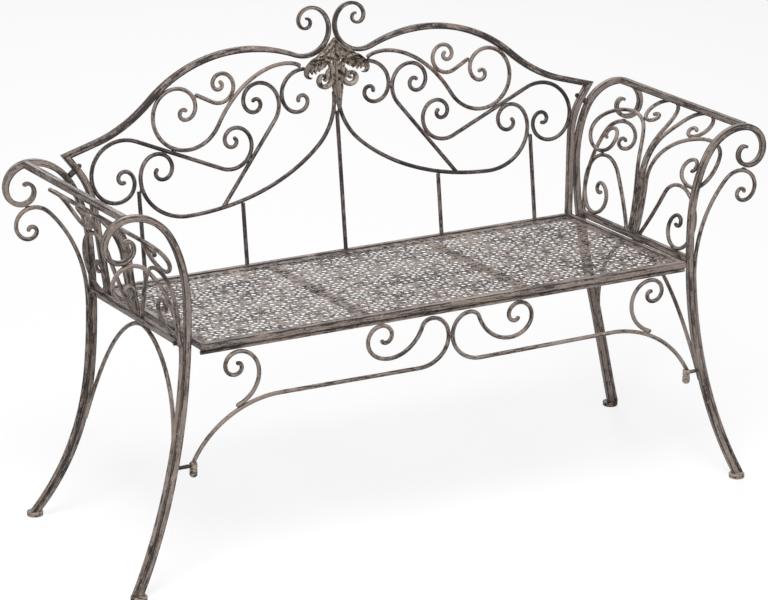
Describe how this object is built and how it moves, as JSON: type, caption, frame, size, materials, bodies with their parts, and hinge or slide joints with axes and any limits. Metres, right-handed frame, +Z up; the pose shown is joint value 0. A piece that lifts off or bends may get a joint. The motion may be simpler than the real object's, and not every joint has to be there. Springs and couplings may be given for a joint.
{
  "type": "wrought metal garden bench",
  "caption": "Wrought metal garden bench with splayed scroll legs, fan-shaped scroll arms, a scrolled back with a cast ornament and a pierced sheet seat.",
  "frame": {"origin": "on the ground, under the middle of the box that the bench fills", "axes": "+X along the width to the right-hand arm as seen from the front, +Y from the front to the back, +Z up"},
  "size_m": [1.3498, 0.4955, 0.8888],
  "materials": {
    "worn_paint": "matt taupe paint, rubbed to a paler grey on the high spots and dark in the recesses",
    "cast_metal": "cast metal under the same worn paint, slightly darker and rougher",
    "fastenings": "dark dull steel with thin paint"
  },
  "bodies": {
    "root": {"left_front_post": "worn_paint", "right_front_post": "worn_paint", "left_back_post": "worn_paint", "right_back_post": "worn_paint", "left_front_leg_rod": "worn_paint", "right_front_leg_rod": "worn_paint", "left_back_leg_rod": "worn_paint", "right_back_leg_rod": "worn_paint", "left_armrest": "worn_paint", "right_armrest": "worn_paint", "left_arm_rail": "worn_paint", "right_arm_rail": "worn_paint", "left_leg_arch": "worn_paint", "right_leg_arch": "worn_paint", "left_fan_stems": "worn_paint", "right_fan_stems": "worn_paint", "left_fan_front_loop": "worn_paint", "right_fan_front_loop": "worn_paint", "left_fan_back_loop": "worn_paint", "right_fan_back_loop": "worn_paint", "left_fan_front_curl": "worn_paint", "right_fan_front_curl": "worn_paint", "left_fan_back_curl": "worn_paint", "right_fan_back_curl": "worn_paint", "foot_caps": "cast_metal", "left_top_rail": "worn_paint", "right_top_rail": "worn_paint", "left_back_upright": "worn_paint", "right_back_upright": "worn_paint", "left_outer_scroll": "worn_paint", "right_outer_scroll": "worn_paint", "left_crown_scroll": "worn_paint", "right_crown_scroll": "worn_paint", "left_crown_curl": "worn_paint", "right_crown_curl": "worn_paint", "left_diagonal_scroll": "worn_paint", "right_diagonal_scroll": "worn_paint", "left_centre_scroll": "worn_paint", "right_centre_scroll": "worn_paint", "left_swag": "worn_paint", "right_swag": "worn_paint", "back_spindles": "worn_paint", "centre_ornament": "cast_metal", "seat_front_rail": "worn_paint", "seat_back_rail": "worn_paint", "seat_left_rail": "worn_paint", "seat_right_rail": "worn_paint", "seat_sheet": "worn_paint", "seat_braces": "worn_paint", "apron_rod": "worn_paint", "left_apron_scroll": "worn_paint", "right_apron_scroll": "worn_paint", "left_apron_curl": "worn_paint", "right_apron_curl": "worn_paint", "apron_sleeves": "cast_metal", "apron_pins": "fastenings", "back_studs": "fastenings", "back_nuts": "fastenings", "seat_bolts": "fastenings", "spacer_tubes": "fastenings"}
  },
  "joints": []
}
